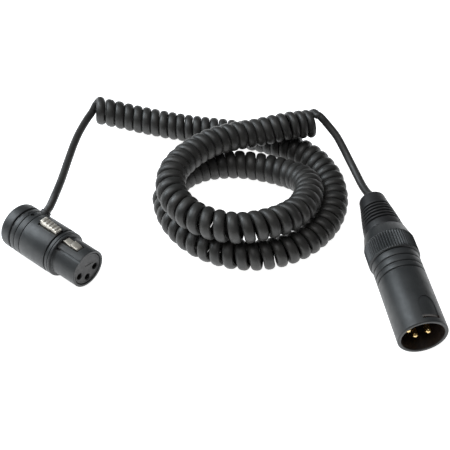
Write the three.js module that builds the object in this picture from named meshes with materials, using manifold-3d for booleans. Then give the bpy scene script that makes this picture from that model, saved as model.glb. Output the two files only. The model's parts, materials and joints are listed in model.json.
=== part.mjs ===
// A coiled microphone cable lying on a table: a low-profile female XLR connector whose cable leaves
// sideways, a curly cord wound into one and a half loops with a straight lead at each end, and a
// straight male XLR connector. Millimetres, +Z up. Each connector is drawn with its mating face at
// station 0 and its length along +Y, and is then laid down in its place. Angles round a connector
// start at its +X side and rise towards +Z.
import * as THREE from "three";
import { mergeVertices } from "three/addons/utils/BufferGeometryUtils.js";
import Module from "manifold-3d";

const wasm = await Module();
wasm.setup();

// ---- driving dimensions ----

const GAP = 0.3; // between pieces that touch
const BODY_R = 9.5; // the outside of both connectors, 19 mm across
const PIN_CIRCLE_R = 4.4;
const PIN_SPREAD = 70; // degrees from the middle pin to each outer pin
const WIRE_R = 1.7; // the cord itself, 3.4 mm across
const CURL_R = 6.35; // the outside of the curly cord
const ORIGIN = { x: -4.6, y: -30.65 }; // the middle of the two connectors' box, in the layout below

const FEMALE = {
  barrelR: 7.95, barrelBoreR: 6.9, collarAt: 12.1, collarR: 9.4,
  bodyAt: 15.1, bodyBoreR: 8.2, frontEnd: 28.75,
  insertR: 6.6, insertFront: 0.4, insertEnd: 17,
  ringFrom: 29.05, ringTo: 33.85, exitAt: 31.4, exitAngle: 30, screwAngle: 76,
  sleeveFrom: 26.2, sleeveTo: 33.6, sleeveR: 7.9, sleeveBoreR: 7.2,
  gasketFrom: 34.1, gasketTo: 34.75, gasketR: 9, capFrom: 35, capTo: 40, capBoreR: 6.6,
  glandFace: 10.9, glandR: 2.8, glandBoreR: WIRE_R + GAP,
};
const LATCH = {
  halfWidth: 1.4, slotHalfWidth: 1.75, pivotAt: 24.6, pivotHeight: 6.6, pinR: 0.5, eyeR: 0.8,
  tabFrom: 15.7, tabTo: 25.1, tabTop: 12, springAt: 14.5,
};
const MALE = {
  boreR: 8.1, insertR: 7.8, insertFrom: 17, insertTo: 24.5, grooves: [26.2, 28.9, 32], shellEnd: 35.2,
  spigotR: 8.3, spigotBoreR: 6.6, spigotEnd: 43.5, pinR: 1.2, pinTip: 3.2, pinEnd: 28.5,
  nutFrom: 35.5, nutTo: 49.6, nutR: 10.2, nutConeAt: 44.3, nutEndR: 8.7,
  bootFrom: 46.9, bootStep: 49.9, bootEnd: 71, bootR: 8.4, bootTipR: 5.1, ribFrom: 54, ribPitch: 1.8, ribs: 6,
  chuckFrom: 38.5, chuckTo: 50.5, chuckR: 6.2,
};

// Where each connector lies: the middle of its mating face, and the heading that the face looks in.
// The male one leans on its nut, which is wider than the shell, so its back end is tilted up a little.
const NUT_LIFT = THREE.MathUtils.radToDeg(Math.asin((MALE.nutR - BODY_R) / MALE.nutFrom));
const FEMALE_PLACE = { face: [-53.1, -32.9, BODY_R], heading: -37.7, tilt: 0, roll: 8 };
const MALE_PLACE = { face: [71.5, -65.4, BODY_R], heading: -81.7, tilt: NUT_LIFT, roll: 14 };

// The cord's layout. Straight leads and the tail of the curl are points along their middle line.
const FEMALE_LEAD = [
  [-69.9, -1.6, 17.3], [-69.1, 3.3, 17.4], [-68.2, 10.4, 17.3], [-66.9, 24.3, 17.2], [-66, 33.2, 17],
  [-64.8, 41.8, 16.5], [-62.9, 51.2, 15.7], [-61.3, 58.1, 14.8],
];
const CURL_TAIL = [
  [-59, 61.6, 13.2], [-53.2, 61.3, 11.7], [-46.2, 60.7, 10.2], [-39.3, 59.9, 8.9], [-32, 58.8, 7.9],
  [-23.8, 57.4, 7.1], [-13.5, 55.7, 6.6], [-1.1, 53.8, 6.4], [9.5, 51.4, 6.4], [19, 48.3, 6.4],
  [27, 44.2, 6.4],
];
const LOWER_LOOP = { x: 10.8, y: 12.8, z: 6.4, r: 35.6, from: 49, to: -176, points: 19 };
const CURL_UPPER = [
  [-22.6, 16.9, 6.4], [-18.8, 23.2, 6.4], [-12.9, 27.8, 6.4], [-5.5, 30.5, 6.4], [2.5, 31.4, 6.4],
  [10.6, 30.7, 6.4], [18, 28.9, 6.4], [24.6, 26, 6.9], [30, 22.2, 8.2], [33.6, 16.6, 10.5],
  [35, 10.6, 12.8], [34.9, 4.9, 14.3], [33.2, -1.2, 15.7], [29.8, -7.9, 17], [23.1, -14.3, 18.4],
  [14, -18.7, 19.3], [4.6, -20.3, 19.5], [-4.6, -18.3, 19.5], [-12.5, -13.9, 19.5], [-19.2, -5.9, 19.5],
  [-21.9, 0.8, 19.5], [-22.3, 7.6, 19.5], [-20.7, 14.4, 19.5], [-16.4, 21.2, 19.5], [-10.5, 27.4, 19.5],
  [-3.6, 32.4, 19.3], [4.7, 36.4, 18.6], [13.8, 39.4, 18], [21.4, 41.2, 18.6], [29, 42.6, 19.5],
  [35, 43.9, 19.1], [40.3, 45.2, 18.8],
];
const MALE_LEAD = [
  [43.3, 43.2, 22.4], [45.6, 41.5, 20.4], [49.2, 37.7, 17.5], [52, 33.1, 14.5], [54.4, 28, 12],
  [56.6, 21.9, 10.4], [58.5, 15, 9.8], [60, 9.6, 10.3],
];

// ---- materials ----

function finish(color, roughness, metalness) {
  return new THREE.MeshStandardMaterial({ color, roughness, metalness });
}

const BLACK_METAL = finish(0x25282a, 0.4, 0.6);
const BLACK_PLASTIC = finish(0x1c1d1f, 0.6, 0);
const BOOT_RUBBER = finish(0x1d1f20, 0.75, 0);
const CORD_JACKET = finish(0x2c2e2e, 0.6, 0);
const NICKEL = finish(0xcfc8b8, 0.3, 0.9);
const GOLD = finish(0xd8b468, 0.25, 1);
const STEEL = finish(0x9a9c9e, 0.35, 1);
const CONDUCTOR = finish(0xa03a2c, 0.6, 0);

// ---- shapes ----

const rad = THREE.MathUtils.degToRad;

// A closed solid of a geometry, with its faces turned outwards.
function solid(geometry) {
  const bare = geometry.clone();
  bare.deleteAttribute("normal");
  bare.deleteAttribute("uv");
  const merged = mergeVertices(bare, 1e-4);
  const vertProperties = merged.attributes.position.array;
  const build = (triVerts) => new wasm.Manifold(new wasm.Mesh({ numProp: 3, vertProperties, triVerts }));
  const made = build(new Uint32Array(merged.index.array));
  return made.volume() > 0 ? made : build(new Uint32Array(merged.index.array).reverse());
}

// A part turned on a lathe: its outline is [radius, station] points, and closes itself where it has a bore.
function turnedGeometry(outline, segments) {
  const onAxis = outline[0][0] === 0;
  const points = (onAxis ? outline : [...outline, outline[0]]).map(([r, s]) => new THREE.Vector2(r, s));
  return new THREE.LatheGeometry(points, segments);
}

function turned(outline, segments = 24) {
  return solid(turnedGeometry(outline, segments));
}

// A turned part that points out of a connector sideways, at an angle and a station.
function turnedSideways(outline, angle, station, segments = 12) {
  const geometry = turnedGeometry(outline, segments);
  geometry.rotateZ(-Math.PI / 2).rotateY(-rad(angle)).translate(0, station, 0);
  return solid(geometry);
}

function block([x0, x1], [s0, s1], [z0, z1]) {
  const geometry = new THREE.BoxGeometry(x1 - x0, s1 - s0, z1 - z0);
  return solid(geometry.translate((x0 + x1) / 2, (s0 + s1) / 2, (z0 + z1) / 2));
}

// A flat plate of constant width across X, whose side outline is [station, height] points.
function plate(outline, width) {
  const shape = new THREE.Shape(outline.map(([s, z]) => new THREE.Vector2(s, z)));
  const geometry = new THREE.ExtrudeGeometry(shape, { depth: width, bevelEnabled: false, curveSegments: 4 });
  geometry.translate(0, 0, -width / 2);
  const [alongX, alongY, alongZ] = [[1, 0, 0], [0, 1, 0], [0, 0, 1]].map((v) => new THREE.Vector3(...v));
  return solid(geometry.applyMatrix4(new THREE.Matrix4().makeBasis(alongY, alongZ, alongX)));
}

// A round bar through points.
function tube(points, radius, sides, steps) {
  const section = new THREE.Shape(
    Array.from({ length: sides }, (_, i) => {
      const turn = (2 * Math.PI * i) / sides;
      return new THREE.Vector2(radius * Math.cos(turn), radius * Math.sin(turn));
    }),
  );
  const path = new THREE.CatmullRomCurve3(points.map((p) => new THREE.Vector3(...p)));
  return solid(new THREE.ExtrudeGeometry(section, { steps, extrudePath: path, bevelEnabled: false }));
}

function rod(radius, from, to, segments = 10) {
  return turned([[0, from], [radius, from], [radius, to], [0, to]], segments);
}

function rodSideways(radius, from, to, angle, station, segments) {
  return turnedSideways([[0, from], [radius, from], [radius, to], [0, to]], angle, station, segments);
}

const cut = (body, tools) => tools.reduce((left, tool) => left.subtract(tool), body);

function addPiece(group, name, body, material) {
  const { vertProperties, triVerts, numProp } = body.getMesh();
  const geometry = new THREE.BufferGeometry();
  const positions = new Float32Array((vertProperties.length / numProp) * 3);
  for (let i = 0; i < positions.length / 3; i++)
    positions.set(vertProperties.subarray(i * numProp, i * numProp + 3), i * 3);
  geometry.setAttribute("position", new THREE.BufferAttribute(positions, 3));
  geometry.setIndex(new THREE.BufferAttribute(triVerts, 1));
  geometry.computeVertexNormals();
  const mesh = new THREE.Mesh(geometry, material);
  mesh.name = name;
  group.add(mesh);
}

// The three contact places, as [x, z]: the middle one is opposite the latch, which is at +Z.
const contactPlaces = [-1, 0, 1].map((side) => {
  const angle = rad(-90 + side * PIN_SPREAD);
  return [PIN_CIRCLE_R * Math.cos(angle), PIN_CIRCLE_R * Math.sin(angle)];
});

// One made body at each contact's place.
const atContacts = (make) => contactPlaces.map(([x, z]) => make().translate(x, 0, z));

// Three insulated conductors from the backs of the contacts towards the cable's end, where they bunch.
function addConductors(group, prefix, from, to) {
  const [conductorR, bunch] = [0.5, 0.3];
  contactPlaces.forEach(([x, z], i) => {
    const path = [
      [x, from, z], [x, from + 1.5, z], [x * 0.62, (from + to) / 2, z * 0.62],
      [x * bunch, to - 1.5, z * bunch], [x * bunch, to, z * bunch],
    ];
    addPiece(group, `${prefix}_conductor_${i + 1}`, tube(path, conductorR, 6, 8), CONDUCTOR);
  });
}

// ---- female connector ----

// The front half: barrel, collar and body in one shell, slotted on top for the latch.
function femaleHousing() {
  const f = FEMALE;
  const shell = turned([
    [f.barrelBoreR, 0], [7.65, 0], [f.barrelR, 0.35], [f.barrelR, f.collarAt],
    [9.1, f.collarAt], [f.collarR, 12.4], [f.collarR, 14.55], [8.95, 14.6], [8.95, 15.05],
    [BODY_R, f.bodyAt], [BODY_R, f.frontEnd], [f.bodyBoreR, f.frontEnd], [f.bodyBoreR, 13.3],
    [f.barrelBoreR, 13.3],
  ]);
  const lugs = [-1, 1].map((side) => {
    const [inner, outer] = [LATCH.halfWidth + 0.6, 3.3].map((v) => v * side).sort((a, b) => a - b);
    return block([inner, outer], [LATCH.pivotAt - 1.2, LATCH.pivotAt + 1.2], [5.6, 8]);
  });
  const pivotHole = crossBar(LATCH.eyeR, LATCH.pivotAt, LATCH.pivotHeight, 10);
  const slot = [-LATCH.slotHalfWidth, LATCH.slotHalfWidth];
  const keywayBlock = block([-0.7, 0.7], [-1, f.collarAt], [f.barrelR - 0.5, f.barrelR + 1.5]);
  const keyway = keywayBlock.rotate([0, -43, 0]);
  return cut(shell.add(lugs[0]).add(lugs[1]), [
    pivotHole,
    block(slot, [3.7, f.collarAt], [5, 10]),
    block(slot, [f.collarAt - 1, 13.5], [5, 8.05]),
    block(slot, [15.2, 25.7], [7, 11]),
    keyway,
  ]);
}

// A cylinder across X, for cross holes and cross pins.
function crossBar(radius, station, height, length) {
  const bar = rod(radius, -length / 2, length / 2, 12);
  return bar.rotate([0, 0, 90]).translate(0, station, height);
}

function femaleInsert() {
  const f = FEMALE;
  const { slotHalfWidth, springAt } = LATCH;
  const relief = block([-slotHalfWidth, slotHalfWidth], [3.2, f.insertEnd + 1], [5.2, 8]);
  const springSeat = turnedSideways([[0, 3.2], [1.5, 3.2], [1.5, 6], [0, 6]], 90, springAt);
  const holes = atContacts(() => rod(1.4, f.insertFront - 1, f.insertEnd + 1, 12));
  return cut(rod(f.insertR, f.insertFront, f.insertEnd, 24), [relief, springSeat, ...holes]);
}

// A socket contact: a bore for the pin in front and a solder cup behind.
function socketContact() {
  return turned([
    [0, 13], [0.7, 13], [0.7, 1.4], [1.1, 1.4], [1.1, 21], [0.75, 21], [0.75, 17.5], [0, 17.5],
  ], 10);
}

// The latch: hook in front, a low arm under the collar, and the push tab above its pivot.
function latchLever() {
  const l = LATCH;
  const outline = [
    [4.2, 6.9], [4.2, 7.75], [4.7, 8.35], [8, 9], [8.25, 8.3], [11.6, 8.3], [11.8, 7.65], [l.tabFrom, 7.65],
    [l.tabFrom, 11.1], [l.tabFrom + 0.4, 11.4], [l.tabTo - 0.5, l.tabTop], [l.tabTo, l.tabTop - 0.5],
    [l.tabTo, 8], [25.9, l.pivotHeight], [25.5, 5.7], [24.6, 5.3], [23.7, 5.7], [22.8, 6.9],
  ];
  return plate(outline, 2 * l.halfWidth).subtract(crossBar(l.eyeR, l.pivotAt, l.pivotHeight, 10));
}

function exitRing() {
  const f = FEMALE;
  const ring = turned([
    [f.bodyBoreR, f.ringFrom], [BODY_R, f.ringFrom], [BODY_R, 31.7], [9.2, 31.75], [9.2, 32], [BODY_R, 32.05],
    [BODY_R, f.ringTo], [f.bodyBoreR, f.ringTo],
  ]);
  const screwHole = turnedSideways([[0, 7], [0.95, 7], [0.95, 11], [0, 11]], f.screwAngle, f.exitAt);
  return cut(ring, [cableHole(), screwHole]);
}

function cableHole() {
  const r = FEMALE.glandBoreR + 0.6;
  return turnedSideways([[0, 5], [r, 5], [r, 12], [0, 12]], FEMALE.exitAngle, FEMALE.exitAt, 16);
}

// The bush that the cable leaves through, with its flange outside the ring.
function cableGland() {
  const f = FEMALE;
  const outline = [
    [f.glandBoreR, 6.4], [f.glandBoreR + 0.3, 6.4], [f.glandBoreR + 0.3, 9.85], [f.glandR, 9.85],
    [f.glandR, 10.2], [f.glandR - 0.4, f.glandFace - GAP], [f.glandBoreR, f.glandFace - GAP],
  ];
  return turnedSideways(outline, f.exitAngle, f.exitAt, 16);
}

function addFemaleRear(group) {
  const f = FEMALE;
  addPiece(group, "exit_ring", exitRing(), BLACK_METAL);
  const sleeve = turned([
    [f.sleeveBoreR, f.sleeveFrom], [f.sleeveR, f.sleeveFrom], [f.sleeveR, f.sleeveTo], [f.sleeveBoreR, f.sleeveTo],
  ]);
  addPiece(group, "swivel_sleeve", sleeve.subtract(cableHole()), STEEL);
  const setScrew = rodSideways(0.65, 8.3, 9.2, f.screwAngle, f.exitAt, 8);
  addPiece(group, "exit_ring_set_screw", setScrew, STEEL);
  addPiece(group, "cable_gland", cableGland(), BOOT_RUBBER);
  addPiece(group, "female_cable_end", rodSideways(WIRE_R, 2.4, 10.4, f.exitAngle, f.exitAt, 10), CORD_JACKET);
  const gasket = turned([
    [8.2, f.gasketFrom], [f.gasketR, f.gasketFrom], [f.gasketR, f.gasketTo], [8.2, f.gasketTo],
  ]);
  addPiece(group, "cap_gasket", gasket, BOOT_RUBBER);
  const cap = turned([
    [0, 38.6], [f.capBoreR, 38.6], [f.capBoreR, 33.9], [7.9, 33.9], [7.9, f.capFrom], [BODY_R, f.capFrom],
    [BODY_R, 38.8], [9.15, 39.65], [8.3, f.capTo], [0, f.capTo],
  ]);
  addPiece(group, "rear_cap", cap, BLACK_METAL);
}

function addFemaleFront(group) {
  addPiece(group, "female_housing", femaleHousing(), BLACK_METAL);
  addPiece(group, "female_insert", femaleInsert(), BLACK_PLASTIC);
  atContacts(socketContact).forEach((body, i) => addPiece(group, `socket_contact_${i + 1}`, body, GOLD));
  addPiece(group, "latch_lever", latchLever(), NICKEL);
  const pin = crossBar(LATCH.pinR, LATCH.pivotAt, LATCH.pivotHeight, 6.4);
  addPiece(group, "latch_pivot_pin", pin, STEEL);
  const spring = turnedSideways([[0.7, 3.5], [1.1, 3.5], [1.1, 6.6], [0.7, 6.6]], 90, LATCH.springAt, 12);
  addPiece(group, "latch_spring", spring, STEEL);
  addConductors(group, "female", 21.3, 28);
}

// ---- male connector ----

function maleShell() {
  const m = MALE;
  const grooveDepth = 0.45;
  const grooves = m.grooves.flatMap((s) => [
    [BODY_R, s - 0.3], [BODY_R - grooveDepth, s], [BODY_R, s + 0.3],
  ]);
  const shell = turned([
    [m.boreR, 0], [9.25, 0], [BODY_R, 0.25], ...grooves, [BODY_R, m.shellEnd], [m.spigotR, m.shellEnd],
    [m.spigotR, m.spigotEnd], [m.spigotBoreR, m.spigotEnd], [m.spigotBoreR, m.insertTo + GAP],
    [m.boreR, m.insertTo + GAP],
  ]);
  return shell.subtract(block([-3.4, 3.4], [1.9, 3.4], [6, 11])); // the slot that a latch hooks into
}

function maleInsert() {
  const m = MALE;
  const holes = atContacts(() => rod(m.pinR + GAP, m.insertFrom - 1, m.insertTo + 1, 12));
  return cut(rod(m.insertR, m.insertFrom, m.insertTo, 24), holes);
}

function contactPin() {
  const m = MALE;
  return turned([
    [0, m.pinTip], [0.6, m.pinTip + 0.15], [1.05, m.pinTip + 0.7], [m.pinR, m.pinTip + 1.4],
    [m.pinR, m.pinEnd], [0.8, m.pinEnd], [0.8, m.pinEnd - 3], [0, m.pinEnd - 3],
  ], 12);
}

// The clamping chuck: a slotted bush that the nut squeezes onto the cable.
function cableChuck() {
  const m = MALE;
  const bush = turned([
    [WIRE_R + GAP, m.chuckFrom], [m.chuckR, m.chuckFrom], [m.chuckR, 46], [4.4, m.chuckTo],
    [WIRE_R + GAP, m.chuckTo],
  ], 24);
  const across = [-8, 8];
  const slotWidth = [-0.4, 0.4];
  const slotLength = [43, m.chuckTo + 1];
  return cut(bush, [block(across, slotLength, slotWidth), block(slotWidth, slotLength, across)]);
}

function lockingNut() {
  const m = MALE;
  return turned([
    [8.6, m.nutFrom], [m.nutR - 0.2, m.nutFrom], [m.nutR, m.nutFrom + 0.3], [m.nutR, m.nutConeAt],
    [m.nutR - 0.25, m.nutConeAt + 0.4], [m.nutEndR, m.nutTo], [7.5, m.nutTo], [7.5, 46.6], [8.6, 46.4],
  ]);
}

// The rubber boot: a step behind the nut, a row of ribs on a taper, and a plain rounded tip.
function cableBoot() {
  const m = MALE;
  const [taperFrom, taperTo] = [m.ribFrom - 1.5, m.bootEnd - 2];
  const radiusAt = (s) => THREE.MathUtils.mapLinear(s, taperFrom, taperTo, m.bootR - 0.35, m.bootTipR);
  const ribs = Array.from({ length: m.ribs }, (_, i) => m.ribFrom + i * m.ribPitch).flatMap((s) => [
    [radiusAt(s), s], [radiusAt(s) - 0.75, s + 0.4], [radiusAt(s), s + 0.85],
  ]);
  return turned([
    [5.9, m.bootFrom], [7.2, m.bootFrom], [7.2, m.bootStep], [m.bootR, m.bootStep + 0.1], [m.bootR - 0.35, 52.4],
    ...ribs, [m.bootTipR + 0.15, m.bootEnd - 3], [m.bootTipR - 0.35, m.bootEnd - 0.7],
    [m.bootTipR - 1.1, m.bootEnd], [WIRE_R + GAP, m.bootEnd], [WIRE_R + GAP, 56], [5.2, 51.2],
  ]);
}

function addMale(group) {
  const m = MALE;
  addPiece(group, "male_shell", maleShell(), BLACK_METAL);
  addPiece(group, "male_insert", maleInsert(), BLACK_PLASTIC);
  atContacts(contactPin).forEach((body, i) => addPiece(group, `contact_pin_${i + 1}`, body, GOLD));
  addConductors(group, "male", m.pinEnd + GAP, 37);
  addPiece(group, "male_cable_end", rod(WIRE_R, 37.5, m.bootEnd - GAP, 10), CORD_JACKET);
  addPiece(group, "cable_chuck", cableChuck(), BLACK_PLASTIC);
  addPiece(group, "locking_nut", lockingNut(), BLACK_METAL);
  addPiece(group, "cable_boot", cableBoot(), BOOT_RUBBER);
}

// ---- the cord ----

function lowerLoopPoints() {
  const { x, y, z, r, from, to, points } = LOWER_LOOP;
  return Array.from({ length: points }, (_, i) => {
    const angle = rad(from + ((to - from) * i) / (points - 1));
    return [x + r * Math.cos(angle), y + r * Math.sin(angle), z];
  });
}

// A connector's own point, in the layout.
function placed(group, x, station, z) {
  group.updateMatrixWorld(true);
  return group.localToWorld(new THREE.Vector3(x, station, z)).toArray();
}

function addCord(group, female, male) {
  const exit = rad(FEMALE.exitAngle);
  const leaving = [FEMALE.glandFace, 13].map((r) =>
    placed(female, r * Math.cos(exit), FEMALE.exitAt, r * Math.sin(exit)),
  );
  addPiece(group, "female_lead", tube([...leaving, ...FEMALE_LEAD], WIRE_R, 8, 24), CORD_JACKET);
  const curl = [...CURL_TAIL, ...lowerLoopPoints(), ...CURL_UPPER];
  addPiece(group, "curly_cord", tube(curl, CURL_R, 12, 80), CORD_JACKET);
  const entering = [MALE.bootEnd + 2.2, MALE.bootEnd + GAP].map((s) => placed(male, 0, s, 0));
  addPiece(group, "male_lead", tube([...MALE_LEAD, ...entering], WIRE_R, 8, 20), CORD_JACKET);
}

// ---- the whole object ----

function connectorGroup({ face, heading, tilt }) {
  const group = new THREE.Group();
  group.position.set(...face);
  group.rotation.set(rad(tilt), 0, rad(heading + 90), "ZXY");
  return group;
}

// The pieces that are turned round the connector's own axis, so that the latch side leans to +X.
function rolledGroup(parent, roll) {
  const group = new THREE.Group();
  group.rotation.y = rad(roll);
  parent.add(group);
  return group;
}

const cable = new THREE.Group();
cable.name = "xlr_cable_coil";
const female = connectorGroup(FEMALE_PLACE);
addFemaleRear(female);
addFemaleFront(rolledGroup(female, FEMALE_PLACE.roll));
const male = connectorGroup(MALE_PLACE);
addMale(rolledGroup(male, MALE_PLACE.roll));
addCord(cable, female, male);
cable.add(female, male);
cable.position.set(-ORIGIN.x, -ORIGIN.y, 0);

export default cable;
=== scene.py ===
"""A coiled microphone cable: its looks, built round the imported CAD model.

Lengths are in millimetres in each connector's own frame, and MM turns them into Blender's metres.
A connector's frame has its mating face at station 0 and its length along +Y. Angles round it start
at its +X side and rise towards +Z, where the latch is. A turned outline lists (radius, station).
"""

import json
import math

import bmesh
import bpy
from mathutils import Matrix, Vector


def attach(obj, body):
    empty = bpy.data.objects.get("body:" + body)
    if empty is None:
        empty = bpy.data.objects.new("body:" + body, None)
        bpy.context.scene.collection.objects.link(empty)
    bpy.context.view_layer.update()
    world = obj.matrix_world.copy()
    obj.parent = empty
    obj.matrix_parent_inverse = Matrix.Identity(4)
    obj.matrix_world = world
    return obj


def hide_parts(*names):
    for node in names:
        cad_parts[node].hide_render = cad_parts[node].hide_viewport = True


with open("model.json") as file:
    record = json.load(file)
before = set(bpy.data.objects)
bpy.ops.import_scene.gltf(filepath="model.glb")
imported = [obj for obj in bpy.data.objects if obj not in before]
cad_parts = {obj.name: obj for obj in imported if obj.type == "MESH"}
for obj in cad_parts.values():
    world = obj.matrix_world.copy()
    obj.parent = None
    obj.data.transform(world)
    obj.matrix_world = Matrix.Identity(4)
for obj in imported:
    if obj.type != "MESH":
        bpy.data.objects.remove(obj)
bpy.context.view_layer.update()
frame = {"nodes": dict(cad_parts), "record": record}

MM = 0.001
UP = Vector((0, 0, 1))
ORIGIN = Vector((-4.6, -30.65, 0))  # the row's origin in the layout that the cord's points use

# ---- sizes shared with the CAD model ----

BODY_R = 9.5
PIN_CIRCLE_R = 4.4
PIN_SPREAD = 70
WIRE_R = 1.7
BARREL_R = 7.95
EXIT_ANGLE, EXIT_STATION, SCREW_ANGLE = 30, 31.4, 76
KEYWAY_ANGLE = 125
LATCH_PIVOT = (24.6, 6.6)  # station and height
NUT_R, NUT_FROM, NUT_TO = 10.2, 35.5, 49.6
BOOT_FROM, BOOT_STEP, BOOT_END = 46.9, 49.9, 71
NUT_LIFT = math.degrees(math.asin((NUT_R - BODY_R) / NUT_FROM))

# ---- the cord's route, point by point along its middle, in the layout ----

FEMALE_LEAD = [
    (-69.9, -1.6, 17.3), (-69.1, 3.3, 17.4), (-68.2, 10.4, 17.3), (-66.9, 24.3, 17.2), (-66, 33.2, 17),
    (-64.8, 41.8, 16.5), (-62.9, 51.2, 15.7), (-61.3, 58.1, 14.8),
]
CURL_TAIL = [
    (-59, 61.6, 13.2), (-53.2, 61.3, 11.7), (-46.2, 60.7, 10.2), (-39.3, 59.9, 8.9), (-32, 58.8, 7.9),
    (-23.8, 57.4, 7.1), (-13.5, 55.7, 6.6), (-1.1, 53.8, 6.4), (9.5, 51.4, 6.4), (19, 48.3, 6.4),
    (27, 44.2, 6.4),
]
LOOP_CENTRE, LOOP_R, LOOP_FROM, LOOP_TO, LOOP_POINTS = Vector((10.8, 12.8, 6.4)), 35.6, 49, -176, 19
CURL_UPPER = [
    (-22.6, 16.9, 6.4), (-18.8, 23.2, 6.4), (-12.9, 27.8, 6.4), (-5.5, 30.5, 6.4), (2.5, 31.4, 6.4),
    (10.6, 30.7, 6.4), (18, 28.9, 6.4), (24.6, 26, 6.9), (30, 22.2, 8.2), (33.6, 16.6, 10.5),
    (35, 10.6, 12.8), (34.9, 4.9, 14.3), (33.2, -1.2, 15.7), (29.8, -7.9, 17), (23.1, -14.3, 18.4),
    (14, -18.7, 19.3), (4.6, -20.3, 19.5), (-4.6, -18.3, 19.5), (-12.5, -13.9, 19.5), (-19.2, -5.9, 19.5),
    (-21.9, 0.8, 19.5), (-22.3, 7.6, 19.5), (-20.7, 14.4, 19.5), (-16.4, 21.2, 19.5), (-10.5, 27.4, 19.5),
    (-3.6, 32.4, 19.3), (4.7, 36.4, 18.6), (13.8, 39.4, 18), (21.4, 41.2, 18.6), (29, 42.6, 19.5),
    (35, 43.9, 19.1), (40.3, 45.2, 18.8),
]
MALE_LEAD = [
    (43.3, 43.2, 22.4), (45.6, 41.5, 20.4), (49.2, 37.7, 17.5), (52, 33.1, 14.5), (54.4, 28, 12),
    (56.6, 21.9, 10.4), (58.5, 15, 9.8), (60, 9.6, 10.3),
]
CURL_START = [(-60.3, 63.9, 14.3)]  # where the lead bends up into the first turn
CURL_END = [(41.7, 44.5, 23.4)]  # where the last turn runs out into the lead

# How far the curl advances per turn, as (distance along the curl, pitch).
PITCH = [
    (0, 4.65), (20, 4.25), (45, 3.9), (70, 4.4), (100, 4.6), (122, 4.3), (147, 4.25), (167, 4.7),
    (202, 4.95), (252, 4.7), (297, 4.5), (332, 4.3), (357, 4.7), (382, 5.2), (402, 4.6), (427, 4.4),
    (452, 4.45), (470, 4.1), (480, 3.6), (490, 3.8),
]
START_PHASE = 43  # degrees round the curl: 0 is its back, 90 its top
HELIX_R = 4.8  # to the middle of the wire
HELIX_STEP = 0.2  # between the wire's points, along the curl
ANGLE_WOBBLE, RADIUS_WOBBLE = 0.07, 0.015  # in radians, and as a share of the radius
WIRE_SIDES = 16
FLAT_WIDTH, FLAT_THICKNESS = 4.4, 3.1  # the wire in the curl, pressed a little flat by the winding
FLAT_SQUARENESS = 0.08
FLAT_OVER = 60  # how many points it takes to go from round to flat
NARROWED = 0.96  # its most width as a share of the pitch, where the turns are close

# ---- the view ----

LIT_POINT = Vector((0, 0.03, 0.01))  # metres
CAMERA_PLACE, CAMERA_TILT = (0, -240.9, 249.5), 44
LENS, SENSOR = 65.36, 36


# ---- frames ----


def connector_frame(face, heading, tilt, roll):
    """From a connector's own millimetres to the row's metres."""
    turn = Matrix.Rotation(math.radians(heading + 90), 4, "Z")
    lean = Matrix.Rotation(math.radians(tilt), 4, "X")
    twist = Matrix.Rotation(math.radians(roll), 4, "Y")
    place = Matrix.Translation((Vector(face) - ORIGIN) * MM)
    return place @ turn @ lean @ twist @ Matrix.Scale(MM, 4)


FEMALE_FACE, FEMALE_HEADING = (-53.1, -32.9, BODY_R), -37.7
FEMALE_REAR = connector_frame(FEMALE_FACE, FEMALE_HEADING, 0, 0)
FEMALE_FRONT = connector_frame(FEMALE_FACE, FEMALE_HEADING, 0, 8)
MALE = connector_frame((71.5, -65.4, BODY_R), -81.7, NUT_LIFT, 14)


def contact_places():
    """The (x, z) of each contact, the middle one opposite the latch."""
    angles = [math.radians(-90 + side * PIN_SPREAD) for side in (-1, 0, 1)]
    return [(PIN_CIRCLE_R * math.cos(a), PIN_CIRCLE_R * math.sin(a)) for a in angles]


def in_row(point):
    return (Vector(point) - ORIGIN) * MM


# ---- lines ----


def smooth_line(points, steps=12):
    """A smooth line through the points, with this many steps from each to the next."""
    points = [Vector(p) for p in points]
    points = [2 * points[0] - points[1], *points, 2 * points[-1] - points[-2]]
    line = []
    for a, b, c, d in zip(points, points[1:], points[2:], points[3:]):
        for i in range(steps):
            t = i / steps
            square, cube = 2 * a - 5 * b + 4 * c - d, 3 * b - a - 3 * c + d
            line.append(0.5 * (2 * b + (c - a) * t + square * t**2 + cube * t**3))
    return [*line, points[-2]]


def line_length(line):
    return sum((b - a).length for a, b in zip(line, line[1:]))


def evenly(line, count):
    """The line again, as this many points at equal distances."""
    total = line_length(line)
    even, travelled, i = [], 0.0, 0
    for k in range(count):
        target = total * k / (count - 1)
        while i < len(line) - 2 and travelled + (line[i + 1] - line[i]).length < target:
            travelled += (line[i + 1] - line[i]).length
            i += 1
        step = (line[i + 1] - line[i]).length
        even.append(line[i].lerp(line[i + 1], min(1, (target - travelled) / step)))
    return even


def softened(outline, fillet, closed=False, steps=4):
    """The outline with its corners rounded, as far as the edges beside each corner allow."""
    points = [Vector(p) for p in outline]
    last = len(points) - 1
    soft = []
    for i, here in enumerate(points):
        if not closed and i in (0, last):
            soft.append(here)
            continue
        before, after = points[i - 1] - here, points[(i + 1) % len(points)] - here
        reach = min(fillet, 0.45 * before.length, 0.45 * after.length)
        a, b = here + before.normalized() * reach, here + after.normalized() * reach
        for k in range(steps + 1):
            t = k / steps
            soft.append(a * (1 - t) ** 2 + here * 2 * t * (1 - t) + b * t**2)
    return soft


# ---- meshes ----


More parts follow.
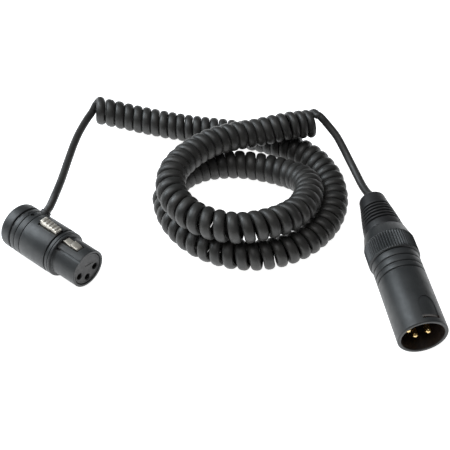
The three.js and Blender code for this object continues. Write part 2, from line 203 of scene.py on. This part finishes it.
def turned(outline, segments, closed=False, radius_at=None):
    """A mesh turned round +Y. radius_at(radius, station, angle) may carve it."""
    carve = radius_at or (lambda radius, station, angle: radius)
    mesh = bmesh.new()
    angles = [2 * math.pi * i / segments for i in range(segments)]
    rings = []
    for radius, station in outline:
        if radius < 1e-6:
            rings.append([mesh.verts.new((0, station, 0))] * segments)
            continue
        ring = []
        for angle in angles:
            carved = carve(radius, station, angle)
            ring.append(mesh.verts.new((carved * math.cos(angle), station, carved * math.sin(angle))))
        rings.append(ring)
    pairs = list(zip(rings, rings[1:]))
    if closed:
        pairs.append((rings[-1], rings[0]))
    for near, far in pairs:
        for i in range(segments):
            j = (i + 1) % segments
            corners_of_face = list(dict.fromkeys([near[i], near[j], far[j], far[i]]))
            if len(corners_of_face) > 2:
                mesh.faces.new(corners_of_face)
    bmesh.ops.recalc_face_normals(mesh, faces=mesh.faces)
    return mesh


def box(x, s, z):
    """A block between two values along each of X, station and Z."""
    mesh = bmesh.new()
    bmesh.ops.create_cube(mesh, size=1)
    size = [b - a for a, b in (x, s, z)]
    middle = [(a + b) / 2 for a, b in (x, s, z)]
    mesh.transform(Matrix.Translation(middle) @ Matrix.Diagonal((*size, 1)))
    return mesh


def plate(outline, width):
    """A flat plate across X, from an outline of (station, height) points."""
    mesh = bmesh.new()
    sides = [[mesh.verts.new((x, s, z)) for s, z in outline] for x in (-width / 2, width / 2)]
    mesh.faces.new(sides[0])
    mesh.faces.new(sides[1][::-1])
    for i in range(len(outline)):
        j = (i + 1) % len(outline)
        mesh.faces.new([sides[0][j], sides[0][i], sides[1][i], sides[1][j]])
    bmesh.ops.recalc_face_normals(mesh, faces=mesh.faces)
    return mesh


def sideways(mesh, angle, station):
    """Turns a mesh made along +Y so that it points out of the connector at an angle and a station."""
    out = Matrix.Rotation(-math.radians(angle), 4, "Y") @ Matrix.Rotation(math.radians(-90), 4, "Z")
    mesh.transform(Matrix.Translation((0, station, 0)) @ out)
    return mesh


def moved(mesh, x, z):
    mesh.transform(Matrix.Translation((x, 0, z)))
    return mesh


def rod(radius, start, end, segments=32):
    return turned([(0, start), (radius, start), (radius, end), (0, end)], segments)


def loose_object(name, mesh):
    """An object of a bmesh, in the scene but not yet part of anything."""
    data = bpy.data.meshes.new(name)
    mesh.to_mesh(data)
    mesh.free()
    obj = bpy.data.objects.new(name, data)
    bpy.context.scene.collection.objects.link(obj)
    return obj


def bake_modifiers(obj):
    graph = bpy.context.evaluated_depsgraph_get()
    done = bpy.data.meshes.new_from_object(obj.evaluated_get(graph))
    obj.modifiers.clear()
    obj.data = done


def cut(mesh, tools):
    """A bmesh with each tool cut out of it."""
    target = loose_object("work", mesh)
    for tool in tools:
        cutter = loose_object("tool", tool)
        step = target.modifiers.new("cut", "BOOLEAN")
        step.object, step.operation, step.solver = cutter, "DIFFERENCE", "EXACT"
        bake_modifiers(target)
        bpy.data.objects.remove(cutter)
    result = bmesh.new()
    result.from_mesh(target.data)
    bpy.data.objects.remove(target)
    return result


def bevelled(mesh, width, angle):
    """A bmesh with the edges sharper than this angle rounded."""
    target = loose_object("work", mesh)
    step = target.modifiers.new("edges", "BEVEL")
    step.width, step.segments, step.angle_limit = width, 2, math.radians(angle)
    step.limit_method, step.miter_outer = "ANGLE", "MITER_ARC"
    bake_modifiers(target)
    result = bmesh.new()
    result.from_mesh(target.data)
    bpy.data.objects.remove(target)
    return result


def piece(name, mesh, place, body, material, nodes, sharp=35):
    """A finished piece: in its place, on its body, in its material, standing for its CAD nodes."""
    mesh.transform(place)
    obj = loose_object(name, mesh)
    obj.data.shade_smooth()
    obj.data.set_sharp_from_angle(angle=math.radians(sharp))
    obj.data.materials.append(material)
    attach(obj, body)
    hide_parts(*nodes)
    return obj


# ---- materials ----


class Shader:
    """A new material's node tree, with the few nodes that these materials share."""

    def __init__(self, name, roughness, metallic=0.0):
        self.material = bpy.data.materials.new(name)
        self.material.use_nodes = True
        self.nodes = self.material.node_tree.nodes
        self.links = self.material.node_tree.links
        self.surface = self.nodes["Principled BSDF"]
        self.surface.inputs["Roughness"].default_value = roughness
        self.surface.inputs["Metallic"].default_value = metallic
        self.coordinates = self.nodes.new("ShaderNodeTexCoord").outputs["Object"]

    def noise(self, size, detail=3.0, stretch=(1, 1, 1)):
        """Noise whose lumps are about size millimetres across."""
        mapping = self.nodes.new("ShaderNodeMapping")
        mapping.inputs["Scale"].default_value = [1 / (size * MM * k) for k in stretch]
        self.links.new(self.coordinates, mapping.inputs["Vector"])
        texture = self.nodes.new("ShaderNodeTexNoise")
        texture.inputs["Scale"].default_value = 1.0
        texture.inputs["Detail"].default_value = detail
        self.links.new(mapping.outputs["Vector"], texture.inputs["Vector"])
        return texture.outputs["Fac"]

    def ramp(self, noise, low, high):
        """A number or a colour that goes from low to high over the middle range of the noise."""
        node = self.nodes.new("ShaderNodeMapRange")
        node.inputs["From Min"].default_value = 0.35
        node.inputs["From Max"].default_value = 0.65
        self.links.new(noise, node.inputs["Value"])
        if not isinstance(low, tuple):
            node.inputs["To Min"].default_value = low
            node.inputs["To Max"].default_value = high
            return node.outputs["Result"]
        mix = self.nodes.new("ShaderNodeMix")
        mix.data_type = "RGBA"
        self.links.new(node.outputs["Result"], mix.inputs["Factor"])
        mix.inputs["A"].default_value = (*low, 1)
        mix.inputs["B"].default_value = (*high, 1)
        return mix.outputs["Result"]

    def colour(self, value):
        self.links.new(value, self.surface.inputs["Base Color"])

    def roughness(self, value):
        self.links.new(value, self.surface.inputs["Roughness"])

    def bump(self, height, depth, strength=1.0):
        """Bumps of this depth in millimetres, in series with the ones before."""
        node = self.nodes.new("ShaderNodeBump")
        node.inputs["Distance"].default_value = depth * MM
        node.inputs["Strength"].default_value = strength
        self.links.new(height, node.inputs["Height"])
        socket = self.surface.inputs["Normal"]
        if socket.is_linked:
            self.links.new(socket.links[0].from_socket, node.inputs["Normal"])
        self.links.new(node.outputs["Normal"], socket)


def black_coating():
    """Satin black coat on the metal shells: fine grain, and a tone that is slightly lighter in random
    patches.
    """
    shader = Shader("black_coating", 0.42)
    shader.colour(shader.ramp(shader.noise(6), (0.019, 0.021, 0.022), (0.027, 0.029, 0.030)))
    shader.roughness(shader.ramp(shader.noise(2.2), 0.42, 0.50))
    shader.bump(shader.noise(0.18, 2), 0.012, 0.5)
    return shader.material


def bore_shade_paint():
    """Painted shade for the inside of the pin connector's shell and the walls of its latch slot: a darker,
    brownish copy of the coating that stands in for the shade in these hollows.
    """
    shader = Shader("bore_shade_paint", 0.5)
    shader.colour(shader.ramp(shader.noise(3), (0.012, 0.007, 0.005), (0.022, 0.012, 0.008)))
    shader.roughness(shader.ramp(shader.noise(1), 0.42, 0.6))
    shader.bump(shader.noise(0.4, 2), 0.01)
    return shader.material


def insert_plastic():
    """Black moulded plastic of the inserts and the chuck."""
    shader = Shader("insert_plastic", 0.5)
    shader.colour(shader.ramp(shader.noise(4), (0.014, 0.014, 0.015), (0.022, 0.022, 0.023)))
    shader.roughness(shader.ramp(shader.noise(1.5), 0.42, 0.56))
    shader.bump(shader.noise(0.35, 3), 0.02, 0.6)
    return shader.material


def boot_rubber():
    """Soft matte rubber of the boot, the gland and the gasket."""
    shader = Shader("boot_rubber", 0.62)
    shader.colour(shader.ramp(shader.noise(5), (0.009, 0.009, 0.010), (0.015, 0.015, 0.016)))
    shader.roughness(shader.ramp(shader.noise(1.2), 0.44, 0.58))
    shader.bump(shader.noise(0.25, 3), 0.02, 0.6)
    return shader.material


def cord_jacket():
    """Smooth matte jacket: faint long waves in its tone, and a fine drawn grain."""
    shader = Shader("cord_jacket", 0.5)
    shader.colour(shader.ramp(shader.noise(7), (0.020, 0.020, 0.019), (0.031, 0.030, 0.028)))
    shader.roughness(shader.ramp(shader.noise(2.5), 0.40, 0.52))
    shader.bump(shader.noise(1.6, 2), 0.03, 0.5)
    shader.bump(shader.noise(0.2, 2), 0.012, 0.6)
    return shader.material


def nickel_plate():
    """Warm nickel of the latch, a little frosted, with faint drawn lines along it."""
    shader = Shader("nickel_plate", 0.36, 0.9)
    shader.colour(shader.ramp(shader.noise(1.5), (0.72, 0.68, 0.60), (0.84, 0.80, 0.72)))
    shader.roughness(shader.ramp(shader.noise(0.6), 0.30, 0.44))
    shader.bump(shader.noise(0.12, 2, (1, 6, 1)), 0.008, 0.5)
    return shader.material


def gold_plate():
    """Gold on the contacts, with slight machining marks."""
    shader = Shader("gold_plate", 0.24, 1.0)
    shader.colour(shader.ramp(shader.noise(0.9), (0.88, 0.62, 0.27), (0.95, 0.72, 0.36)))
    shader.roughness(shader.ramp(shader.noise(0.3), 0.18, 0.30))
    shader.bump(shader.noise(0.1, 2, (6, 1, 6)), 0.006, 0.5)
    return shader.material


def plain_steel():
    """Brushed steel of the inner sleeve, the spring, the cross pin and the set screw."""
    shader = Shader("plain_steel", 0.34, 1.0)
    shader.colour(shader.ramp(shader.noise(1), (0.50, 0.50, 0.51), (0.62, 0.62, 0.63)))
    shader.roughness(shader.ramp(shader.noise(0.4), 0.28, 0.42))
    shader.bump(shader.noise(0.1, 2, (5, 1, 5)), 0.008, 0.5)
    return shader.material


def conductor_insulation():
    shader = Shader("conductor_insulation", 0.45)
    shader.colour(shader.ramp(shader.noise(1.5), (0.45, 0.06, 0.04), (0.55, 0.09, 0.06)))
    shader.roughness(shader.ramp(shader.noise(0.8), 0.40, 0.52))
    return shader.material


def floor_paper():
    """White paper on a light table, so that it stays white under the object, with the faintest tooth."""
    shader = Shader("floor_paper", 0.9)
    shader.surface.inputs["Emission Color"].default_value = (1, 1, 1, 1)
    shader.surface.inputs["Emission Strength"].default_value = 0.95
    shader.colour(shader.ramp(shader.noise(60), (0.92, 0.92, 0.92), (0.95, 0.95, 0.95)))
    shader.bump(shader.noise(0.8, 2), 0.02, 0.3)
    shader.surface.inputs["Specular IOR Level"].default_value = 0.1
    return shader.material


COATING = black_coating()
BORE_SHADE_PAINT = bore_shade_paint()
INSERT = insert_plastic()
RUBBER = boot_rubber()
JACKET = cord_jacket()
NICKEL = nickel_plate()
GOLD = gold_plate()
STEEL = plain_steel()
INSULATION = conductor_insulation()


# ---- socket connector ----


def female_housing():
    """Barrel, collar and body in one turned shell, slotted for the latch and grooved for the key."""
    outline = [
        (6.9, 0), (BARREL_R, 0), (BARREL_R, 12.1), (9.25, 12.1), (9.4, 12.4),
        (9.4, 12.95), (9.12, 13.0), (9.12, 13.2), (9.4, 13.25),
        (9.4, 14.55), (8.75, 14.6), (8.75, 15.1), (BODY_R, 15.15), (BODY_R, 28.8), (8.2, 28.8),
        (8.2, 13.3), (6.9, 13.3),
    ]
    shell = turned(softened(outline, 0.25, True, 3), 144, True)
    key = box((-0.5, 0.5), (-1, 12.1), (BARREL_R - 0.8, BARREL_R + 1))
    key.transform(Matrix.Rotation(math.radians(90 - KEYWAY_ANGLE), 4, "Y"))
    slot = (-1.95, 1.95)
    tools = [
        key,
        box(slot, (3.7, 12.1), (5, 10)),
        box(slot, (11, 13.6), (5, 8.2)),
        box(slot, (15.15, 25.7), (6.5, 11)),
    ]
    shell = cut(shell, tools)
    piece("socket_housing", shell, FEMALE_FRONT, "female_front", COATING, ["female_housing"])


def female_insert():
    """The insert's face: a raised rim, three holes with eased edges and a short moulding slot."""
    outline = [(0, 0.55), (5.95, 0.55), (6.15, 0.35), (6.6, 0.35), (6.6, 17), (0, 17)]
    body = turned(softened(outline, 0.12, False, 3), 96)
    holes = []
    for x, z in contact_places():
        hole = [(0, -1), (1.62, -1), (1.62, 0.5), (1.32, 0.85), (1.32, 18), (0, 18)]
        holes.append(moved(turned(hole, 40), x, z))
    line = box((-2.2, 2.2), (-1, 0.85), (-0.14, 0.14))
    line.transform(Matrix.Translation((1.05, 0, 1.4)) @ Matrix.Rotation(math.radians(5), 4, "Y"))
    relief = box((-1.75, 1.75), (2.6, 18), (5.0, 8))
    seat = sideways(rod(1.5, 3.2, 6), 90, 14.5)
    body = cut(body, [*holes, line, relief, seat])
    piece("socket_insert", body, FEMALE_FRONT, "female_front", INSERT, ["female_insert"])


def socket_contacts():
    """Three split sockets, set back in their holes."""
    outline = [(0.7, 3.4), (1.1, 3.4), (1.1, 21), (0.75, 21), (0.75, 17.5), (0, 17.5), (0, 13), (0.7, 13)]
    for i, (x, z) in enumerate(contact_places()):
        contact = turned(softened(outline[:4], 0.1, False, 2) + [Vector(p) for p in outline[4:]], 32, True)
        contact = moved(contact, x, z)
        piece(f"socket_{i + 1}", contact, FEMALE_FRONT, "female_front", GOLD,
              [f"socket_contact_{i + 1}"])


def latch():
    """Hook, arm and push tab in one pressed piece; the tab's top is stepped for a thumb."""
    steps = 5
    front, rear, low, high = 15.7, 24.0, 11.1, 12.0
    tread = (rear - front - 0.6) / steps
    stairs = []
    for i in range(steps):
        station = front + 0.5 + i * tread
        height = low + (high - low) * i / (steps - 1)
        stairs += [(station, height - 0.4), (station + 0.25, height + 0.06)]
        stairs.append((station + tread - 0.1, height - 0.05))
    outline = [
        (4.2, 6.9), (4.2, 7.8), (4.6, 8.25), (7.5, 8.98), (7.9, 8.85), (8.2, 7.75),
        (9.0, 8.2), (11.4, 8.6), (11.75, 8.3), (11.9, 7.65), (front, 7.65), (front, 10.8),
        *stairs, (24.4, 11.5), (24.4, 8),
        (25.9, LATCH_PIVOT[1]), (25.5, 5.7), (24.6, 5.3), (23.7, 5.7), (22.8, 6.9),
    ]
    lever = bevelled(plate(outline, 2.8), 0.1, 25)
    eye = turned([(0, -5), (0.8, -5), (0.8, 5), (0, 5)], 24)
    eye.transform(Matrix.Translation((0, *LATCH_PIVOT)) @ Matrix.Rotation(math.radians(90), 4, "Z"))
    lever = cut(lever, [eye])
    piece("latch", lever, FEMALE_FRONT, "latch", NICKEL, ["latch_lever"], 30)


def exit_ring():
    """The turning ring, with a groove round it, the cable's hole and a flat for the set screw."""
    outline = [
        (8.2, 29.0), (BODY_R, 29.0), (BODY_R, 31.68), (9.2, 31.74), (9.2, 31.98), (BODY_R, 32.04),
        (BODY_R, 33.9), (8.2, 33.9),
    ]
    ring = turned(softened(outline, 0.12, True, 3), 144, True)
    hole = sideways(rod(2.4, 5, 12), EXIT_ANGLE, EXIT_STATION)
    pocket = [(0, 9.2), (1.6, 9.2), (1.8, 9.5), (1.8, 11), (0, 11)]
    flat = sideways(turned(pocket, 40), SCREW_ANGLE, EXIT_STATION)
    bore = sideways(rod(0.8, 7, 11), SCREW_ANGLE, EXIT_STATION)
    ring = cut(ring, [hole, flat, bore])
    piece("turning_ring", ring, FEMALE_REAR, "root", COATING, ["exit_ring"])


def set_screw():
    """A small socket screw at the bottom of its hole."""
    body = turned([(0, 7.6), (0.66, 7.6), (0.66, 8.15), (0.58, 8.23), (0, 8.23)], 32)
    drive = turned([(0, 7.9), (0.33, 7.9), (0.33, 9), (0, 9)], 6)
    screw = sideways(cut(body, [drive]), SCREW_ANGLE, EXIT_STATION)
    piece("set_screw", screw, FEMALE_REAR, "root", STEEL, ["exit_ring_set_screw"])


def cable_gland():
    """The rubber bush round the cable, thinner where it stands out of the ring."""
    outline = [(1.76, 6.4), (2.25, 6.4), (2.25, 9.6), (2.15, 10.4), (2.0, 10.6), (1.76, 10.6)]
    bush = sideways(turned(softened(outline, 0.15, True, 3), 64, True), EXIT_ANGLE, EXIT_STATION)
    piece("exit_bush", bush, FEMALE_REAR, "root", RUBBER, ["cable_gland"])


def rear_cap():
    """The cap, rounded at its rear edge, with a shallow ring in its end face."""
    outline = [
        (0, 38.6), (6.6, 38.6), (6.6, 33.9), (7.9, 33.9), (7.9, 35.0), (BODY_R, 35.0),
        (BODY_R, 38.7), (9.2, 39.5), (8.4, 40.0),
        (6.2, 40.0), (6.05, 39.85), (5.8, 39.85), (5.65, 40.0), (0, 40.0),
    ]
    cap = turned(softened(outline, 0.5, False, 4), 144)
    piece("end_cap", cap, FEMALE_REAR, "root", COATING, ["rear_cap"])


# ---- pin connector ----


def male_shell():
    """A plain tube with a rounded rim, three grooves, the latch's slot and the arch pressed behind it."""
    bore_r, bore_end, groove_r = 8.1, 24.8, 9.0
    slot_half, slot_from, slot_to = 3.4, 1.9, 3.4
    grooves = []
    for station in (26.2, 28.9, 32):
        grooves += [(BODY_R, station - 0.36), (groove_r, station - 0.26)]
        grooves += [(groove_r, station + 0.26), (BODY_R, station + 0.36)]
    outline = [
        (bore_r, 0.2), (8.45, 0), (9.2, 0), (BODY_R, 0.35), *grooves, (BODY_R, 35.2), (8.3, 35.2),
        (8.3, 43.5), (6.6, 43.5), (6.6, bore_end), (bore_r, bore_end),
    ]
    shell = turned(softened(outline, 0.2, True, 3), 144, True)
    slot = box((-slot_half, slot_half), (slot_from, slot_to), (6, 11))
    shell = cut(shell, [arch_tool(), slot])
    shown = piece("pin_shell", shell, MALE, "root", COATING, ["male_shell"])
    # The faces inside the bore and on the slot's walls take the darker, brownish coat: painted shade for
    # these hollows.
    shown.data.materials.append(BORE_SHADE_PAINT)
    inside = MALE.inverted()
    for face in shown.data.polygons:
        x, station, z = inside @ face.center
        radius = math.hypot(x, z)
        bore_shaded = radius < bore_r + 0.15 and 0.3 < station < bore_end + 0.2
        beside_slot = abs(x) < slot_half + 0.2 and slot_from - 0.2 < station < slot_to + 0.2
        slot_shaded = beside_slot and z > 0 and radius < BODY_R - 0.05
        if bore_shaded or slot_shaded:
            face.material_index = 1


def arch_tool():
    """What cuts the arch: an upright shape, hollowed so that it only skims the shell."""
    half, foot, straight, rise = 3.2, 2.6, 8.4, 3.4
    arch = [(-half, foot), (half, foot)]
    for i in range(25):
        angle = math.pi * i / 24
        arch.append((half * math.cos(angle), straight + rise * math.sin(angle)))
    mesh = bmesh.new()
    floors = [[mesh.verts.new((x, s, z)) for x, s in arch] for z in (7, 10.5)]
    mesh.faces.new(floors[0])
    mesh.faces.new(floors[1][::-1])
    for i in range(len(arch)):
        j = (i + 1) % len(arch)
        mesh.faces.new([floors[0][j], floors[0][i], floors[1][i], floors[1][j]])
    bmesh.ops.recalc_face_normals(mesh, faces=mesh.faces)
    return cut(mesh, [rod(9.3, 0, 20, 144)])


def male_insert():
    """The insert at the bottom of the shell, with a hole for each pin."""
    outline = [(0, 17), (7.3, 17), (7.5, 16.7), (7.8, 16.7), (7.8, 24.5), (0, 24.5)]
    body = turned(softened(outline, 0.2, False, 3), 96)
    holes = [moved(rod(1.5, 15, 26, 24), x, z) for x, z in contact_places()]
    body = cut(body, holes)
    piece("pin_insert", body, MALE, "root", INSERT, ["male_insert"])


def contact_pins():
    """Three solid pins with rounded tips."""
    pin_r, tip, nose_length, end = 1.2, 3.2, 1.1, 28.5
    nose = []
    for i in range(9):
        angle = math.pi / 16 * i
        nose.append((pin_r * math.sin(angle), tip + nose_length * (1 - math.cos(angle))))
    outline = [Vector(p) for p in [*nose, (pin_r, end), (0.8, end), (0.8, end - 3), (0, end - 3)]]
    for i, (x, z) in enumerate(contact_places()):
        pin = moved(turned(outline, 40), x, z)
        piece(f"pin_{i + 1}", pin, MALE, "root", GOLD, [f"contact_pin_{i + 1}"])


def locking_nut():
    """The knurled nut: a band of fine ridges along it, and a smooth cone behind them."""
    ridges, depth, band = 60, 0.5, (36.3, 44.0)

    def carve(radius, station, angle):
        if radius < 9:
            return radius
        ends = min(station - band[0], band[1] - station) / 0.8
        fade = max(0.0, min(1.0, ends + 0.5))
        return radius - depth * fade * abs(math.cos(ridges * angle / 2)) ** 1.6

    band_stations = [band[0] + (band[1] - band[0]) * i / 14 for i in range(15)]
    outer = [(9.4, NUT_FROM), (9.9, NUT_FROM + 0.15), (NUT_R - 0.05, NUT_FROM + 0.55)]
    outer += [(NUT_R, s) for s in band_stations]
    outer += [(NUT_R - 0.05, 44.3), (NUT_R - 0.3, 44.7), (8.8, NUT_TO - 0.2), (8.6, NUT_TO)]
    inner = [(7.5, NUT_TO), (7.5, 46.6), (8.6, 46.4), (8.6, NUT_FROM)]
    nut = turned([Vector(p) for p in outer + inner], ridges * 8, True, carve)
    piece("knurled_nut", nut, MALE, "root", COATING, ["locking_nut"], 50)


def boot_radius(station):
    """The boot's outside: nearly straight behind the nut, then a long taper."""
    t = (station - BOOT_STEP) / (BOOT_END - BOOT_STEP)
    return 8.4 - 0.2 * t - 2.7 * min(1, t * 1.15) ** 1.3


def cable_boot():
    """The rubber boot: a step behind the nut, six grooves between round ribs, and a plain tip."""
    pitch, first, count = 1.8, 53.9, 6
    ribs = []
    for i in range(count):
        middle = first + i * pitch
        for k in range(9):
            offset = -0.5 + k / 8
            depth = 1.1 * math.cos(math.pi * offset) ** 0.7
            ribs.append((boot_radius(middle + offset) - depth, middle + offset))
    tip = [(boot_radius(BOOT_END - 1.3) - 0.05, BOOT_END - 1.3), (4.7, BOOT_END - 0.5), (3.9, BOOT_END)]
    outline = [
        (5.9, BOOT_FROM), (7.2, BOOT_FROM), (7.2, BOOT_STEP), (8.2, BOOT_STEP), (8.35, BOOT_STEP + 0.3),
        (boot_radius(52.2), 52.2), *ribs, (boot_radius(66), 66),
        *tip, (WIRE_R, BOOT_END), (WIRE_R, 56), (5.2, 51.2),
    ]
    boot = turned(softened(outline, 0.35, True, 3), 128, True)
    piece("ribbed_boot", boot, MALE, "root", RUBBER, ["cable_boot"], 50)


# ---- the cord ----


def curl_axis():
    """The middle line of the curl: tail, lower loop, inner pass and upper loop."""
    loop = []
    for i in range(LOOP_POINTS):
        angle = math.radians(LOOP_FROM + (LOOP_TO - LOOP_FROM) * i / (LOOP_POINTS - 1))
        loop.append(LOOP_CENTRE + LOOP_R * Vector((math.cos(angle), math.sin(angle), 0)))
    return smooth_line([*CURL_TAIL, *loop, *CURL_UPPER])


def wobble(turn, seed):
    """A slow, smooth unevenness between -1 and 1 along the curl."""
    slow, middle, quick = math.sin(0.73 * turn + seed), math.sin(1.91 * turn + 2 * seed), math.sin(4.3 * turn)
    return 0.5 * slow + 0.3 * middle + 0.2 * quick


def pitch_at(distance):
    """How far one turn advances, at a distance along the curl."""
    for (near, low), (far, high) in zip(PITCH, PITCH[1:]):
        if distance <= far:
            return low + (high - low) * (distance - near) / (far - near)
    return PITCH[-1][1]


def curl():
    """The wound cord, a right-handed helix: at each point its place, its outward side and its width."""
    axis = curl_axis()
    total = line_length(axis)
    count = round(total / HELIX_STEP) + 1
    axis = evenly(axis, count)
    step = total / (count - 1)
    phase = math.radians(START_PHASE)
    points, outwards, widths = [], [], []
    for i, centre in enumerate(axis):
        ahead = axis[min(i + 4, count - 1)] - axis[max(i - 4, 0)]
        back = UP.cross(ahead).normalized()
        top = ahead.cross(back).normalized()
        turn = phase / (2 * math.pi)
        angle = phase + ANGLE_WOBBLE * wobble(turn, 1.0)
        out = math.cos(angle) * back + math.sin(angle) * top
        outwards.append(out)
        widths.append(min(FLAT_WIDTH, NARROWED * pitch_at(i * step)))
        points.append(centre + HELIX_R * (1 + RADIUS_WOBBLE * wobble(turn, 2.5)) * out)
        phase += 2 * math.pi * step / pitch_at(i * step)
    return points, outwards, widths


def carried(line, out):
    """The outward direction at each point of a line, carried along it from its first point."""
    directions = []
    for a, b in zip(line, [*line[1:], 2 * line[-1] - line[-2]]):
        along = (b - a).normalized()
        out = (out - along * out.dot(along)).normalized()
        directions.append(out)
    return directions


def wire_section(width, flat):
    """The wire's outline as (across, outward) points: round at 0, and flattened to its width at 1."""
    half_width = WIRE_R + (width / 2 - WIRE_R) * flat
    half_thickness = WIRE_R + (FLAT_THICKNESS / 2 - WIRE_R) * flat
    squareness = 1 - FLAT_SQUARENESS * flat
    outline = []
    for i in range(WIRE_SIDES):
        c, s = math.cos(2 * math.pi * i / WIRE_SIDES), math.sin(2 * math.pi * i / WIRE_SIDES)
        across = math.copysign(abs(c) ** squareness, c)
        outward = math.copysign(abs(s) ** squareness, s)
        outline.append((half_width * across, half_thickness * outward))
    return outline


def cord_line():
    """The cord's middle line from exit to boot, its outward side, its width and how flat it is."""
    leaving = []
    for reach in (10.45, 11.6, 13):
        angle = math.radians(EXIT_ANGLE)
        point = FEMALE_REAR @ Vector((reach * math.cos(angle), EXIT_STATION, reach * math.sin(angle)))
        leaving.append(point / MM + ORIGIN)
    entering = [MALE @ Vector((0, station, 0)) / MM + ORIGIN for station in (73.2, 72, 70.75)]
    wound, outwards, wound_widths = curl()
    first = smooth_line([*leaving, *FEMALE_LEAD, *CURL_START, wound[0], wound[3]], 8)[:-9]
    last = smooth_line([wound[-4], wound[-1], *CURL_END, *MALE_LEAD, *entering], 8)[9:]
    line = [*first, *wound, *last]
    out = [*carried(first[::-1], outwards[0])[::-1], *outwards, *carried(last, outwards[-1])]
    widths = [wound_widths[0]] * len(first) + wound_widths + [wound_widths[-1]] * len(last)
    flat = []
    for i in range(len(line)):
        inside = min(i - len(first), len(first) + len(wound) - 1 - i)
        flat.append(max(0.0, min(1.0, 0.5 + inside / FLAT_OVER)))
    return line, out, widths, flat


def cord():
    """The whole cord as one tube along its line."""
    line, out, widths, flat = cord_line()
    mesh = bmesh.new()
    rings = []
    ends = [line[0], *line, line[-1]]
    for i, (centre, outward) in enumerate(zip(line, out)):
        along = (ends[i + 2] - ends[i]).normalized()
        across = along.cross(outward).normalized()
        outward = across.cross(along)
        places = [in_row(centre + across * x + outward * y) for x, y in wire_section(widths[i], flat[i])]
        rings.append([mesh.verts.new(place) for place in places])
    for near, far in zip(rings, rings[1:]):
        for k in range(WIRE_SIDES):
            j = (k + 1) % WIRE_SIDES
            mesh.faces.new([near[k], near[j], far[j], far[k]])
    mesh.faces.new(rings[0][::-1])
    mesh.faces.new(rings[-1])
    bmesh.ops.recalc_face_normals(mesh, faces=mesh.faces)
    nodes = ["female_lead", "curly_cord", "male_lead"]
    obj = piece("microphone_cord", mesh, Matrix(), "root", JACKET, nodes, 60)


# ---- hidden CAD pieces ----


def finish_hidden():
    """The CAD nodes that stay get their materials by their slot."""
    looks = {
        "cord_jacket": JACKET, "black_shell": COATING, "steel": STEEL, "boot_rubber": RUBBER,
        "black_insert": INSERT, "gold_contact": GOLD, "nickel": NICKEL, "conductor_insulation": INSULATION,
    }
    for part in frame["record"]["subparts"]:
        data = frame["nodes"][part["node"]].data
        data.materials.clear()
        data.materials.append(looks[part["material_slot"]])


# ---- studio ----


def area_light(name, place, size, power, colour=(1, 1, 1)):
    """A square soft light at a place in metres, turned to the object."""
    data = bpy.data.lights.new(name, "AREA")
    data.shape, data.size, data.energy, data.color = "SQUARE", size, power, colour
    light = bpy.data.objects.new(name, data)
    light.location = place
    light.rotation_euler = (LIT_POINT - Vector(place)).to_track_quat("-Z", "Y").to_euler()
    bpy.context.scene.collection.objects.link(light)


def studio():
    """A white floor, soft light from above and from the left, and the camera."""
    floor_mesh = bmesh.new()
    bmesh.ops.create_grid(floor_mesh, x_segments=8, y_segments=8, size=3)
    floor = loose_object("floor", floor_mesh)
    floor.data.materials.append(floor_paper())

    world = bpy.data.worlds.new("white_room")
    world.use_nodes = True
    background = world.node_tree.nodes["Background"]
    background.inputs["Color"].default_value = (1, 1, 1, 1)
    background.inputs["Strength"].default_value = 0.14
    bpy.context.scene.world = world

    area_light("key_light", (-0.25, -0.1, 1.2), 0.8, 5.5)
    area_light("left_light", (-0.5, 0.22, 0.45), 0.4, 4.0, (0.86, 0.94, 1))

    data = bpy.data.cameras.new("camera")
    data.lens, data.sensor_width = LENS, SENSOR
    data.clip_start, data.clip_end = 0.01, 20
    camera = bpy.data.objects.new("camera", data)
    camera.location = in_row(CAMERA_PLACE)
    camera.rotation_euler = (math.radians(CAMERA_TILT), 0, 0)
    bpy.context.scene.collection.objects.link(camera)
    bpy.context.scene.camera = camera
    bpy.context.scene.view_settings.view_transform = "Standard"


finish_hidden()
cord()
female_housing()
female_insert()
socket_contacts()
latch()
exit_ring()
set_screw()
cable_gland()
rear_cap()
male_shell()
male_insert()
contact_pins()
locking_nut()
cable_boot()
studio()
